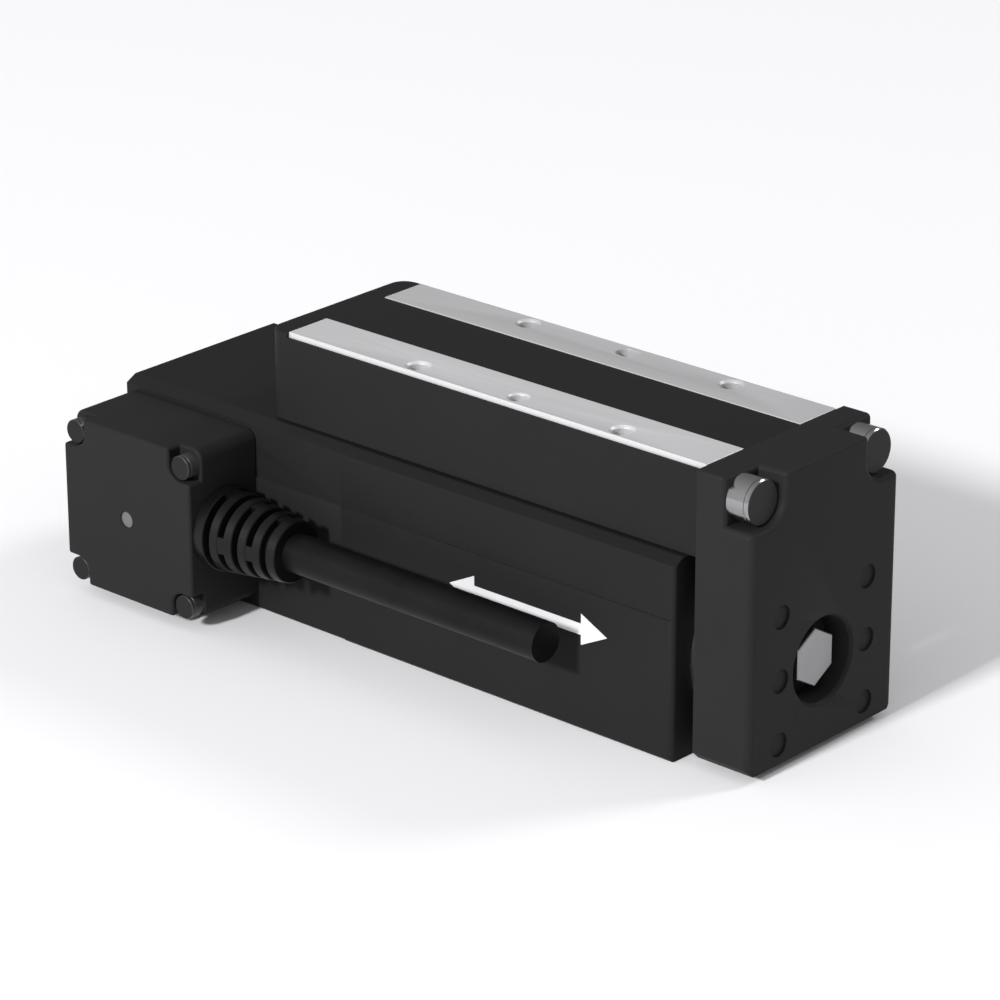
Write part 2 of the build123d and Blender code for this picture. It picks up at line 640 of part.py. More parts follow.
with BuildPart() as encoder_board:
    with BuildSketch(plane_x(BOARD_X)) as outline:
        with Locations((0, AXIS_HEIGHT)):
            RectangleRounded(22.0, 24.0, 2.0)
    extrude(amount=1.6)
    block((BOARD_X + 1.6, -2.5, AXIS_HEIGHT - 2.5), (BOARD_X + 2.5, 2.5, AXIS_HEIGHT + 2.5))
    block((BOARD_X - 3.5, -9.0, AXIS_HEIGHT - 3.0), (BOARD_X, -5.0, AXIS_HEIGHT + 3.0))
    rods_x(1.1, BOARD_X, BOARD_X + 1.6, STANDOFFS, Mode.SUBTRACT)
save(encoder_board, "encoder_board")

with BuildPart() as encoder_screws:
    rods_x(1.7, BOARD_X - 1.2, BOARD_X, STANDOFFS)
    rods_x(0.8, BOARD_X, BOARD_X + 4.8, STANDOFFS)
    sockets(plane_x(BOARD_X - 1.2), STANDOFFS, 1.5, -0.7)
save(encoder_screws, "encoder_screws")

# ---- front end of the body ---------------------------------------------------------------------
with BuildPart() as rod_bushing:
    with BuildSketch(plane_x(BUSH_START)) as ring:
        with Locations((0, AXIS_HEIGHT)):
            Circle(BUSH_RADIUS)
            Circle(ROD_RADIUS + RUNNING_GAP, mode=Mode.SUBTRACT)
    extrude(amount=BUSH_END - BUSH_START)
save(rod_bushing, "rod_bushing")

with BuildPart() as rod_seal:
    with BuildSketch(plane_x(BUSH_END)) as ring:
        with Locations((0, AXIS_HEIGHT)):
            Circle(BUSH_RADIUS)
            Circle(ROD_RADIUS + 0.08, mode=Mode.SUBTRACT)
    extrude(amount=BODY_FRONT - BUSH_END)
save(rod_seal, "rod_seal")

# Front flange: bright disc that holds the bushing and the seal.
with BuildPart() as front_flange:
    rods_x(FLANGE_RADIUS, BODY_FRONT, FLANGE_FRONT)
    rods_x(ROD_RADIUS + 0.4, BODY_FRONT, FLANGE_FRONT, mode=Mode.SUBTRACT)
    cones(plane_x(FLANGE_FRONT), FLANGE_BOLTS, 1.7, 1.0, -0.9, Mode.SUBTRACT)
    rods_x(1.0, BODY_FRONT, FLANGE_FRONT, FLANGE_BOLTS, Mode.SUBTRACT)
save(front_flange, "front_flange")

with BuildPart() as flange_screws:
    cones(plane_x(FLANGE_FRONT - 0.1), FLANGE_BOLTS, 1.6, 0.8, -0.8)
    rods_x(0.8, FLANGE_FRONT - 0.9, BODY_FRONT - 3.7, FLANGE_BOLTS)
    sockets(plane_x(FLANGE_FRONT - 0.1), FLANGE_BOLTS, 1.2, 0.5)
save(flange_screws, "flange_screws")

# ---- rail --------------------------------------------------------------------------------------
with BuildPart() as guide_rail:
    block((RAIL_START, -RAIL_HALF, BODY_HEIGHT), (RAIL_END, RAIL_HALF, RAIL_TOP))
    chamfer(guide_rail.edges().filter_by(Axis.X).group_by(Axis.Z)[-1], 0.4)
    rods_x(GROOVE_RADIUS, RAIL_START, RAIL_END, mirrored(GROOVE_CENTRE, GROOVE_HEIGHT), Mode.SUBTRACT)
    rods_z(2.9, RAIL_TOP - 3.4, RAIL_TOP, RAIL_SCREWS, Mode.SUBTRACT)
    rods_z(1.6, BODY_HEIGHT, RAIL_TOP, RAIL_SCREWS, Mode.SUBTRACT)
save(guide_rail, "guide_rail")

with BuildPart() as rail_screws:
    rods_z(2.75, RAIL_TOP - 3.4, RAIL_TOP - 0.4, RAIL_SCREWS)
    rods_z(1.45, BODY_HEIGHT - RAIL_SCREW_DEPTH, RAIL_TOP - 3.4, RAIL_SCREWS)
    sockets(plane_z(RAIL_TOP - 0.4), RAIL_SCREWS, 2.5, 1.6)
save(rail_screws, "rail_screws")

# ==== turning pieces ============================================================================

# Lead screw: motor shaft and screw in one piece, with a bevelled tip.
with BuildPart() as lead_screw:
    rods_x(SHAFT_RADIUS, SHAFT_REAR, THREAD_START)
    rods_x(SCREW_RADIUS, THREAD_START, SCREW_TIP)
    chamfer(lead_screw.faces().sort_by(Axis.X)[-1].edges(), 0.6)
save(lead_screw, "lead_screw")

with BuildPart() as rotor:
    with BuildSketch(plane_x(STACK_START)) as ring:
        with Locations((0, AXIS_HEIGHT)):
            Circle(ROTOR_RADIUS)
            Circle(SHAFT_RADIUS, mode=Mode.SUBTRACT)
            with PolarLocations(ROTOR_RADIUS, ROTOR_TEETH):
                Rectangle(0.6, 0.35, mode=Mode.SUBTRACT)
    extrude(amount=STACK_LENGTH)
save(rotor, "rotor")

with BuildPart() as encoder_magnet:
    rods_x(3.0, SHAFT_REAR - 2.5, SHAFT_REAR)
save(encoder_magnet, "encoder_magnet")

# ==== moving pieces =============================================================================

# Table: channel that straddles the rail, with the strips sunk into its top.
with BuildPart() as slide_table:
    block((TABLE_REAR, -TABLE_HALF, TABLE_BOTTOM), (PLATE_BACK, TABLE_HALF, TABLE_TOP))
    fillet(slide_table.edges().filter_by(Axis.Z).group_by(Axis.X)[0], 3.0)
    fillet(slide_table.faces().sort_by(Axis.X)[0].edges().filter_by(Axis.Y).sort_by(Axis.Z)[-1], 0.5)
    block((TABLE_REAR, -CHANNEL_HALF, TABLE_BOTTOM), (PLATE_BACK, CHANNEL_HALF, CHANNEL_TOP), Mode.SUBTRACT)
    for side in (-1, 1):
        near, far = sorted((side * STRIP_INNER, side * STRIP_OUTER))
        block((STRIP_REAR, near, STRIP_FLOOR), (PLATE_BACK, far, TABLE_TOP), Mode.SUBTRACT)
        edge, outside = sorted((side * STRIP_OUTER, side * (TABLE_HALF + 1)))
        block((STRIP_REAR, edge, TABLE_TOP - LIP_DROP), (PLATE_BACK, outside, TABLE_TOP), Mode.SUBTRACT)
    rods_z(M4_TAP, STRIP_FLOOR - 8.0, STRIP_FLOOR, TAPPED_HOLES, Mode.SUBTRACT)
    rods_z(DOWEL, STRIP_FLOOR - 4.0, STRIP_FLOOR, DOWEL_HOLES, Mode.SUBTRACT)
    rods_z(1.6, CHANNEL_TOP, STRIP_FLOOR, CARRIAGE_BOLTS, Mode.SUBTRACT)
    cones(plane_z(STRIP_FLOOR), CARRIAGE_BOLTS, 2.85, 1.6, -1.4, Mode.SUBTRACT)
    rods_x(1.65, PLATE_BACK - 10.0, PLATE_BACK, CORNER_SCREWS, Mode.SUBTRACT)
save(slide_table, "slide_table")


def strip_blank(near, far):
    """Strip with finely bevelled top edges."""
    block((STRIP_REAR, near, STRIP_FLOOR), (STRIP_FRONT, far, STRIP_TOP))


with BuildPart() as near_strip:
    strip_blank(-STRIP_OUTER, -STRIP_INNER)
    chamfer(near_strip.faces().sort_by(Axis.Z)[-1].edges(), 0.04)
    rods_z(M4_TAP, STRIP_FLOOR, STRIP_TOP, NEAR_TAPPED, Mode.SUBTRACT)
    cones(plane_z(STRIP_TOP), NEAR_TAPPED, 2.05, M4_TAP, -0.4, Mode.SUBTRACT)
    rods_z(DOWEL, STRIP_FLOOR, STRIP_TOP, DOWEL_HOLES[:1], Mode.SUBTRACT)
    cones(plane_z(STRIP_TOP), DOWEL_HOLES[:1], 1.78, DOWEL, -0.28, Mode.SUBTRACT)
save(near_strip, "near_strip")

with BuildPart() as far_strip:
    strip_blank(STRIP_INNER, STRIP_OUTER)
    chamfer(far_strip.faces().sort_by(Axis.Z)[-1].edges(), 0.04)
    rods_z(M4_TAP, STRIP_FLOOR, STRIP_TOP, FAR_TAPPED, Mode.SUBTRACT)
    cones(plane_z(STRIP_TOP), FAR_TAPPED, 2.05, M4_TAP, -0.4, Mode.SUBTRACT)
    with BuildSketch(plane_z(STRIP_FLOOR)) as slot:
        with Locations(DOWEL_HOLES[1]):
            SlotOverall(4.1, 2 * DOWEL)
    extrude(amount=STRIP_THICKNESS, mode=Mode.SUBTRACT)
save(far_strip, "far_strip")

# End cap: closes the rear of the table's channel and clears the rail.
with BuildPart() as table_end_cap:
    block((CAP_REAR, -CHANNEL_HALF, TABLE_BOTTOM), (CAP_REAR + 2.0, CHANNEL_HALF, CHANNEL_TOP))
    block((CAP_REAR, -5.2, TABLE_BOTTOM), (CAP_REAR + 2.0, 5.2, RAIL_TOP + 0.6), Mode.SUBTRACT)
save(table_end_cap, "table_end_cap")

# Carriage: steel block with an end cap at each end, running on two rows of balls.


def carriage_section(start, end, channel_half, channel_top):
    """Carriage cross-section with its channel over the rail."""
    block((start, -CARRIAGE_HALF, BODY_HEIGHT + 1.2), (end, CARRIAGE_HALF, CHANNEL_TOP))
    block((start, -channel_half, BODY_HEIGHT), (end, channel_half, channel_top), Mode.SUBTRACT)


with BuildPart() as carriage_block:
    carriage_section(BLOCK_START, BLOCK_END, RAIL_HALF + 0.25, RAIL_TOP + 0.5)
    rods_x(GROOVE_RADIUS, BLOCK_START, BLOCK_END, mirrored(GROOVE_CENTRE, GROOVE_HEIGHT), Mode.SUBTRACT)
    rods_z(1.5, CHANNEL_TOP - 5.5, CHANNEL_TOP, CARRIAGE_BOLTS, Mode.SUBTRACT)
save(carriage_block, "carriage_block")

with BuildPart() as carriage_caps:
    for start, end in ((CARRIAGE_START, BLOCK_START), (BLOCK_END, BLOCK_END + CAP_LENGTH)):
        carriage_section(start, end, RAIL_HALF + 0.3, RAIL_TOP + 0.5)
save(carriage_caps, "carriage_caps")

with BuildPart() as carriage_balls:
    for i in range(CARRIAGE_BALLS):
        for y in (-GROOVE_CENTRE, GROOVE_CENTRE):
            with Locations((BLOCK_START + 1.5 + i * BALL_STEP, y, GROOVE_HEIGHT)):
                Sphere(GROOVE_RADIUS - 0.05)
save(carriage_balls, "carriage_balls")

with BuildPart() as carriage_screws:
    cones(plane_z(STRIP_FLOOR), CARRIAGE_BOLTS, 2.75, 1.45, -1.4)
    rods_z(1.45, CHANNEL_TOP - 5.2, STRIP_FLOOR - 1.4, CARRIAGE_BOLTS)
    sockets(plane_z(STRIP_FLOOR), CARRIAGE_BOLTS, 2.0, 1.0)
save(carriage_screws, "carriage_screws")

def in_corner_pocket(edge):
    """Whether an edge belongs to one of the end plate's corner pockets."""
    bounds = edge.bounding_box()
    nearest = min(abs(bounds.min.Y), abs(bounds.max.Y))
    return (
        bounds.min.X > CORNER_SEAT - TINY
        and nearest > CORNER_ACROSS - CORNER_POCKET - TINY
        and bounds.min.Z > POCKET_FLOOR - TINY
    )


# End plate: hangs in front of the body and joins the table to the rod.
with BuildPart() as end_plate:
    with BuildSketch(plane_x(PLATE_BACK)) as outline:
        with Locations((0, (PLATE_BOTTOM + TABLE_TOP) / 2)):
            Rectangle(2 * PLATE_HALF, TABLE_TOP - PLATE_BOTTOM)
        chamfer(outline.vertices().group_by(Axis.Y)[0], 1.3)
    extrude(amount=PLATE_THICKNESS)
    fillet(end_plate.edges().filter_by(Axis.Z).group_by(Axis.X)[-1], PLATE_SIDE_ROUND)
    fillet(end_plate.faces().sort_by(Axis.Z)[-1].edges().sort_by(Axis.X)[-1], PLATE_TOP_ROUND)
    for side in (-1, 1):
        across = sorted((side * (CORNER_ACROSS - CORNER_POCKET), side * (PLATE_HALF + 1)))
        outer = sorted((side * CORNER_ACROSS, side * (PLATE_HALF + 1)))
        block((CORNER_SEAT, across[0], CORNER_HEIGHT), (PLATE_FRONT, across[1], TABLE_TOP + 1), Mode.SUBTRACT)
        block((CORNER_SEAT, outer[0], POCKET_FLOOR), (PLATE_FRONT, outer[1], TABLE_TOP + 1), Mode.SUBTRACT)
    rods_x(CORNER_POCKET, CORNER_SEAT, PLATE_FRONT, CORNER_SCREWS, Mode.SUBTRACT)
    rods_x(2.2, PLATE_BACK, CORNER_SEAT, CORNER_SCREWS, Mode.SUBTRACT)
    rods_x(POCKET_RADIUS, BOLT_SEAT, PLATE_FRONT, mode=Mode.SUBTRACT)
    cones(plane_x(PLATE_FRONT), [(0, AXIS_HEIGHT)], POCKET_RADIUS + 0.5, POCKET_RADIUS, -0.5, Mode.SUBTRACT)
    rods_x(2.7, PLATE_BACK, BOLT_SEAT, mode=Mode.SUBTRACT)
    rods_x(SPIGOT_RADIUS, PLATE_BACK, PLATE_BACK + SPIGOT_LENGTH, mode=Mode.SUBTRACT)
    rods_x(PLUG_RADIUS, PLATE_FRONT - 6.0, PLATE_FRONT, PLUG_POINTS, Mode.SUBTRACT)
    plate_low = (PLATE_BACK, -PLATE_HALF, PLATE_BOTTOM)
    plate_high = (PLATE_FRONT, PLATE_HALF, TABLE_TOP)
    plate_skin = (TINY, PLATE_SIDE_ROUND + TINY, PLATE_TOP_ROUND + TINY)
    rims = [
        edge
        for edge in end_plate.edges()
        if in_corner_pocket(edge) and on_skin(edge, plate_low, plate_high, plate_skin)
    ]
    fillet(rims, PLATE_POCKET_ROUND)
save(end_plate, "end_plate")

# Corner screws: low cylinder heads in the two top corners of the end plate.
with BuildPart() as corner_screws:
    rods_x(CORNER_HEAD, CORNER_SEAT, CORNER_FACE, CORNER_SCREWS)
    chamfer(corner_screws.faces().group_by(Axis.X)[-1].edges(), 0.25)
    rods_x(1.6, PLATE_BACK - 9.5, CORNER_SEAT, CORNER_SCREWS)
save(corner_screws, "corner_screws")

# Hole plugs: blank the six tapped holes of the end plate.
with BuildPart() as hole_plugs:
    rods_x(PLUG_RADIUS, PLATE_FRONT - 4.0, PLATE_FRONT - 0.4, PLUG_POINTS)
save(hole_plugs, "hole_plugs")

# Rod bolt: hexagon bolt that clamps the end plate against the rod.
with BuildPart() as rod_bolt:
    with BuildSketch(plane_x(BOLT_SEAT)) as head:
        with Locations((0, AXIS_HEIGHT)):
            RegularPolygon(BOLT_FLATS / math.sqrt(3), 6, rotation=30)
    extrude(amount=3.5)
    rods_x(2.45, BOLT_SEAT - 14.0, BOLT_SEAT)
save(rod_bolt, "rod_bolt")

# Push rod: hollow behind, so that the screw can run into it, with a spigot in the end plate.
with BuildPart() as push_rod:
    rods_x(ROD_RADIUS, ROD_START, PLATE_BACK)
    rods_x(SPIGOT_RADIUS, PLATE_BACK, PLATE_BACK + SPIGOT_LENGTH)
    rods_x(3.5, ROD_START, SCREW_TIP + 3.0, mode=Mode.SUBTRACT)
    rods_x(4.9, ROD_START, ROD_START + NUT_LENGTH - NUT_FLANGE, mode=Mode.SUBTRACT)
    rods_x(2.5, BOLT_SEAT - 15.0, PLATE_BACK + SPIGOT_LENGTH, mode=Mode.SUBTRACT)
save(push_rod, "push_rod")

# Drive nut: flanged nut in the rear end of the rod.
with BuildPart() as drive_nut:
    rods_x(7.5, NUT_START, ROD_START)
    rods_x(4.9, ROD_START, NUT_START + NUT_LENGTH)
    rods_x(SCREW_RADIUS + RUNNING_GAP, NUT_START, NUT_START + NUT_LENGTH, mode=Mode.SUBTRACT)
save(drive_nut, "drive_nut")

# Bumper: soft ring behind the end plate that meets the front flange.
with BuildPart() as bumper_ring:
    with BuildSketch(plane_x(PLATE_BACK - BUMPER_THICKNESS)) as ring:
        with Locations((0, AXIS_HEIGHT)):
            Circle(9.5)
            Circle(ROD_RADIUS, mode=Mode.SUBTRACT)
    extrude(amount=BUMPER_THICKNESS)
save(bumper_ring, "bumper_ring")
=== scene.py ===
import bpy
import bmesh
import json
import math
from mathutils import Matrix, Vector


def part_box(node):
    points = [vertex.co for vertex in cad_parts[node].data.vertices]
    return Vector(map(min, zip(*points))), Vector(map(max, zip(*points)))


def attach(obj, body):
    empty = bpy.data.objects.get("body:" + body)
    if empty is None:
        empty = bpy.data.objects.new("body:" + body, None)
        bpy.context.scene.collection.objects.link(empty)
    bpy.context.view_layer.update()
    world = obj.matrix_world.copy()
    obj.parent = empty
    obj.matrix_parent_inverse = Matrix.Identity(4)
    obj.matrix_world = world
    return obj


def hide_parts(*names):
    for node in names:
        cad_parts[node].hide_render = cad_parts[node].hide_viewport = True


# Electric slide table: black body with a stepper motor and lead screw inside, a table on top with
# two bright strips, and an end plate in front. Metres, +X the way the table moves, +Z up.
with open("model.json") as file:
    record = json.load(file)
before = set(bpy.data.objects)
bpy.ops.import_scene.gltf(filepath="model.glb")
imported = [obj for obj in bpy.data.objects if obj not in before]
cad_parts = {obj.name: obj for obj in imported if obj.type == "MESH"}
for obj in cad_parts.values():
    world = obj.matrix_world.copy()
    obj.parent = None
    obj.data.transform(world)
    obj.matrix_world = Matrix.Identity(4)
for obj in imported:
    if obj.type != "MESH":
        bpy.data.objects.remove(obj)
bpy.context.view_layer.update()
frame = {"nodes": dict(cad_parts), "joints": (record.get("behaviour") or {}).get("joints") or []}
MM = 0.001

body_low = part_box("main_housing")[0]
box_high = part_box("driver_box")[1]
relief_low, relief_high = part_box("strain_relief")
cable_low, cable_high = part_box("cable")
screw_low, screw_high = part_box("lead_screw")
corner_low, corner_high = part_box("corner_screws")
box_screw_low, box_screw_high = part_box("driver_box_screws")
bolt_low, bolt_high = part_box("rod_bolt")
stack_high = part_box("stator_stack")[1]
AXIS_Z = frame["joints"][1]["pos_m"][2]      # height of the screw's axis, from the joint screw_spin
CABLE_ACROSS = (cable_low.y + cable_high.y) / 2
CABLE_HEIGHT = (cable_low.z + cable_high.z) / 2


# ---- camera -------------------------------------------------------------------------------------
CAMERA_AZIMUTH = 41.923
CAMERA_ELEVATION = 22.161
CAMERA_ROLL = -0.118
CAMERA_PLACE = Vector((0.4225, -0.4625, 0.2757))
CAMERA_LENS = 158.37
CAMERA_SENSOR = 36.0
CAMERA_NEAR = 0.02
CAMERA_FAR = 20.0


def make_camera():
    """Camera at the photo's viewing angle; its azimuth turns from -Y towards +X."""
    azimuth = math.radians(CAMERA_AZIMUTH)
    elevation = math.radians(CAMERA_ELEVATION)
    level = math.cos(elevation)
    back = Vector((math.sin(azimuth) * level, -math.cos(azimuth) * level, math.sin(elevation)))
    right = Vector((math.cos(azimuth), math.sin(azimuth), 0))
    turn = Matrix((right, back.cross(right), back)).transposed()
    data = bpy.data.cameras.new("camera")
    data.lens = CAMERA_LENS
    data.sensor_width = CAMERA_SENSOR
    data.clip_start = CAMERA_NEAR
    data.clip_end = CAMERA_FAR
    camera = bpy.data.objects.new("camera", data)
    camera.matrix_world = Matrix.Translation(CAMERA_PLACE) @ (
        turn @ Matrix.Rotation(math.radians(CAMERA_ROLL), 3, "Z")
    ).to_4x4()
    bpy.context.scene.collection.objects.link(camera)
    bpy.context.scene.camera = camera


make_camera()


# ---- materials ----------------------------------------------------------------------------------
NOISE_LOW, NOISE_HIGH = 0.3, 0.7             # the part of the noise's range that ramps and spreads use


def node_material(name, roughness, metallic=0.0, specular=0.5):
    """A material with its Principled shader, and the shader's own uniform values."""
    material = bpy.data.materials.new(name)
    material.use_nodes = True
    shader = material.node_tree.nodes["Principled BSDF"]
    shader.inputs["Roughness"].default_value = roughness
    shader.inputs["Metallic"].default_value = metallic
    shader.inputs["Specular IOR Level"].default_value = specular
    shader.inputs["Coat Weight"].default_value = 0.0
    return material, material.node_tree, shader


def place_texture(tree, stretch=(1, 1, 1)):
    """Object coordinates, stretched along the axes."""
    where = tree.nodes.new("ShaderNodeTexCoord")
    scale = tree.nodes.new("ShaderNodeMapping")
    scale.inputs["Scale"].default_value = stretch
    tree.links.new(where.outputs["Object"], scale.inputs["Vector"])
    return scale.outputs["Vector"]


def noise(tree, vector, scale, detail=4.0, roughness=0.6):
    """Noise texture, as its output socket."""
    texture = tree.nodes.new("ShaderNodeTexNoise")
    texture.inputs["Scale"].default_value = scale
    texture.inputs["Detail"].default_value = detail
    texture.inputs["Roughness"].default_value = roughness
    tree.links.new(vector, texture.inputs["Vector"])
    return texture.outputs["Fac"]


def ramp(tree, socket, low, high):
    """Colour ramp between two colours."""
    blend = tree.nodes.new("ShaderNodeValToRGB")
    blend.color_ramp.elements[0].position = NOISE_LOW
    blend.color_ramp.elements[1].position = NOISE_HIGH
    blend.color_ramp.elements[0].color = (*low, 1)
    blend.color_ramp.elements[1].color = (*high, 1)
    tree.links.new(socket, blend.inputs["Fac"])
    return blend.outputs["Color"]


def spread(tree, socket, low, high):
    """A value between low and high."""
    span = tree.nodes.new("ShaderNodeMapRange")
    span.inputs["From Min"].default_value = NOISE_LOW
    span.inputs["From Max"].default_value = NOISE_HIGH
    span.inputs["To Min"].default_value = low
    span.inputs["To Max"].default_value = high
    tree.links.new(socket, span.inputs["Value"])
    return span.outputs["Result"]


def bump(tree, shader, socket, strength, distance):
    """Relief from a texture."""
    relief = tree.nodes.new("ShaderNodeBump")
    relief.inputs["Strength"].default_value = strength
    relief.inputs["Distance"].default_value = distance
    tree.links.new(socket, relief.inputs["Height"])
    tree.links.new(relief.outputs["Normal"], shader.inputs["Normal"])


def grey(value):
    """Grey with the faintest blue."""
    return (value, value, value * 1.02)


def anodised(name, low, high, roughness, specular):
    """Fine-blasted, black anodised aluminium: faint clouding and a tight grain."""
    material, tree, shader = node_material(name, roughness, specular=specular)
    where = place_texture(tree)
    clouds = noise(tree, where, 55.0)
    grain = noise(tree, where, 5200.0, 2.0)
    tree.links.new(ramp(tree, clouds, grey(low), grey(high)), shader.inputs["Base Color"])
    tree.links.new(
        spread(tree, clouds, roughness - 0.03, roughness + 0.03), shader.inputs["Roughness"]
    )
    bump(tree, shader, grain, 0.12, 0.00003)
    return material


def ground_steel(name, low, high, roughness, stretch=(6, 900, 900), metallic=1.0):
    """Ground steel: long fine scratches along X."""
    material, tree, shader = node_material(name, roughness, metallic=metallic)
    where = place_texture(tree, stretch)
    lines = noise(tree, where, 6.0, 6.0, 0.7)
    tree.links.new(ramp(tree, lines, grey(low), grey(high)), shader.inputs["Base Color"])
    tree.links.new(
        spread(tree, lines, roughness - 0.04, roughness + 0.04), shader.inputs["Roughness"]
    )
    bump(tree, shader, lines, 0.08, 0.00002)
    return material


def turned_metal(name, low, high, roughness, pitch=9000.0):
    """Lathe-turned metal: fine rings across X."""
    return ground_steel(name, low, high, roughness, (pitch, 40, 40))


def moulded(name, low, high, roughness, specular=0.5, grain_size=2600.0, depth=0.00003):
    """Moulded rubber or plastic: light mottling and a fine matt grain."""
    material, tree, shader = node_material(name, roughness, specular=specular)
    where = place_texture(tree)
    tree.links.new(ramp(tree, noise(tree, where, 120.0), low, high), shader.inputs["Base Color"])
    bump(tree, shader, noise(tree, where, grain_size, 2.0), 0.15, depth)
    return material


body_black = anodised("body_black", 0.0142, 0.0156, 0.54, 0.06)
table_black = anodised("table_black", 0.0142, 0.0156, 0.52, 0.07)
box_black = anodised("box_black", 0.0160, 0.0176, 0.52, 0.07)
plate_black = anodised("plate_black", 0.0180, 0.0196, 0.52, 0.06)
screw_black = anodised("screw_black", 0.030, 0.036, 0.35, 0.4)
face_black = anodised("face_black", 0.026, 0.029, 0.5, 0.08)
# The next two are one strip steel in two tones: the near strip's lighter tone is painted light, and
# the far strip's darker tone is painted shade.
near_steel_painted_light = ground_steel("near_steel_painted_light", 0.585, 0.625, 0.45, metallic=0.3)
far_steel_painted_shade = ground_steel("far_steel_painted_shade", 0.49, 0.53, 0.45, metallic=0.3)
rail_steel = ground_steel("rail_steel", 0.5, 0.56, 0.25)
head_steel = turned_metal("head_steel", 0.30, 0.40, 0.2)
bolt_zinc = turned_metal("bolt_zinc", 0.29, 0.33, 0.42, 3000.0)
flange_steel = turned_metal("flange_steel", 0.45, 0.52, 0.3)
ball_steel = turned_metal("ball_steel", 0.6, 0.66, 0.12)
relief_rubber = moulded("relief_rubber", grey(0.003), grey(0.0055), 0.38, 0.2)
cable_rubber = moulded("cable_rubber", grey(0.0025), grey(0.005), 0.47, 0.14, 3200.0, 0.000012)
lens_grey = moulded("lens_grey", grey(0.105), grey(0.12), 0.4)
cap_green = moulded("cap_green", (0.02, 0.10, 0.06), (0.03, 0.13, 0.08), 0.5)
cap_black = moulded("cap_black", grey(0.015), grey(0.02), 0.55)
board_green = moulded("board_green", (0.01, 0.09, 0.03), (0.015, 0.12, 0.04), 0.35)
ribbon_white = moulded("ribbon_white", grey(0.62), grey(0.7), 0.45)
bell_metal = moulded("bell_metal", grey(0.42), grey(0.5), 0.45)
lamination = ground_steel("lamination", 0.2, 0.3, 0.5, (6000, 20, 20))
copper_wire = moulded("copper_wire", (0.35, 0.12, 0.04), (0.5, 0.2, 0.08), 0.35, 0.5, 1800.0)
brass_post = moulded("brass_post", (0.5, 0.35, 0.12), (0.6, 0.42, 0.16), 0.35)
bronze = moulded("bronze", (0.36, 0.2, 0.07), (0.45, 0.26, 0.1), 0.4)
magnet_grey = turned_metal("magnet_grey", 0.35, 0.42, 0.25)
mark_white = moulded("mark_white", grey(0.62), grey(0.7), 0.5)

NODE_MATERIALS = {
    "main_housing": body_black,
    "rear_housing": body_black,
    "rear_cover": body_black,
    "slide_table": table_black,
    "table_end_cap": cap_black,
    "end_plate": plate_black,
    "hole_plugs": plate_black,
    "driver_box": box_black,
    "driver_box_screws": screw_black,
    "tie_screws": screw_black,
    "flange_screws": screw_black,
    "rail_screws": screw_black,
    "carriage_screws": screw_black,
    # The two strips get one steel in a lit tone and a shaded tone: painted light and painted shade.
    "near_strip": near_steel_painted_light,
    "far_strip": far_steel_painted_shade,
    "corner_screws": head_steel,
    "rod_bolt": bolt_zinc,
    "front_flange": flange_steel,
    "push_rod": rail_steel,
    "guide_rail": rail_steel,
    "lead_screw": rail_steel,
    "carriage_block": rail_steel,
    "carriage_caps": cap_green,
    "carriage_balls": ball_steel,
    "bearing_balls": ball_steel,
    "bearing_outer_rings": ball_steel,
    "bearing_inner_rings": ball_steel,
    "light_pipe": lens_grey,
    "driver_board": board_green,
    "encoder_board": board_green,
    "ribbon_lead": ribbon_white,
    "strain_relief": relief_rubber,
    "cable": cable_rubber,
    "motor_front_bell": bell_metal,
    "motor_rear_bell": bell_metal,
    "stator_stack": lamination,
    "rotor": lamination,
    "stator_coils": copper_wire,
    "motor_bolts": magnet_grey,
    "encoder_screws": magnet_grey,
    "encoder_posts": brass_post,
    "encoder_magnet": magnet_grey,
    "rod_bushing": bronze,
    "rod_seal": relief_rubber,
    "bumper_ring": relief_rubber,
    "drive_nut": bronze,
}


def dress(piece, material):
    """Give a piece one material."""
    piece.data.materials.clear()
    piece.data.materials.append(material)


for node, material in NODE_MATERIALS.items():
    dress(frame["nodes"][node], material)


# ---- cable --------------------------------------------------------------------------------------
CABLE_SPANS = 3


def make_cable():
    """Straight lead out of the strain relief, with a bare cut end."""
    radius = (cable_high.z - cable_low.z) / 2
    length = cable_high.x - cable_low.x
    data = bpy.data.curves.new("cable_lead", "CURVE")
    data.dimensions = "3D"
    data.bevel_depth = radius
    data.bevel_resolution = 12
    data.use_fill_caps = True
    spline = data.splines.new("NURBS")
    spline.points.add(CABLE_SPANS)
    for number, point in enumerate(spline.points):
        place = cable_low.x + length * number / CABLE_SPANS
        point.co = (place, CABLE_ACROSS, CABLE_HEIGHT, 1)
    spline.order_u = 3
    spline.use_endpoint_u = True
    spline.resolution_u = 8
    piece = bpy.data.objects.new("cable_lead", data)
    bpy.context.scene.collection.objects.link(piece)
    data.materials.append(cable_rubber)
    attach(piece, "root")
    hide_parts("cable")


make_cable()


# ---- mesh tools ---------------------------------------------------------------------------------
SMOOTH_ANGLE = math.radians(32)


def mesh_of(name, shape):
    """Mesh data from a bmesh, with its faces turned outwards."""
    bmesh.ops.recalc_face_normals(shape, faces=shape.faces)
    mesh = bpy.data.meshes.new(name)
    shape.to_mesh(mesh)
    shape.free()
    return mesh


def finish_piece(name, shape, body, node, materials):
    """Turn a bmesh into a smooth-shaded piece that rides a body and may stand for a CAD node."""
    mesh = mesh_of(name, shape)
    mesh.validate()
    mesh.shade_smooth()
    mesh.set_sharp_from_angle(angle=SMOOTH_ANGLE)
    piece = bpy.data.objects.new(name, mesh)
    bpy.context.scene.collection.objects.link(piece)
    for material in materials:
        mesh.materials.append(material)
    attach(piece, body)
    if node:
        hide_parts(node)
    return piece


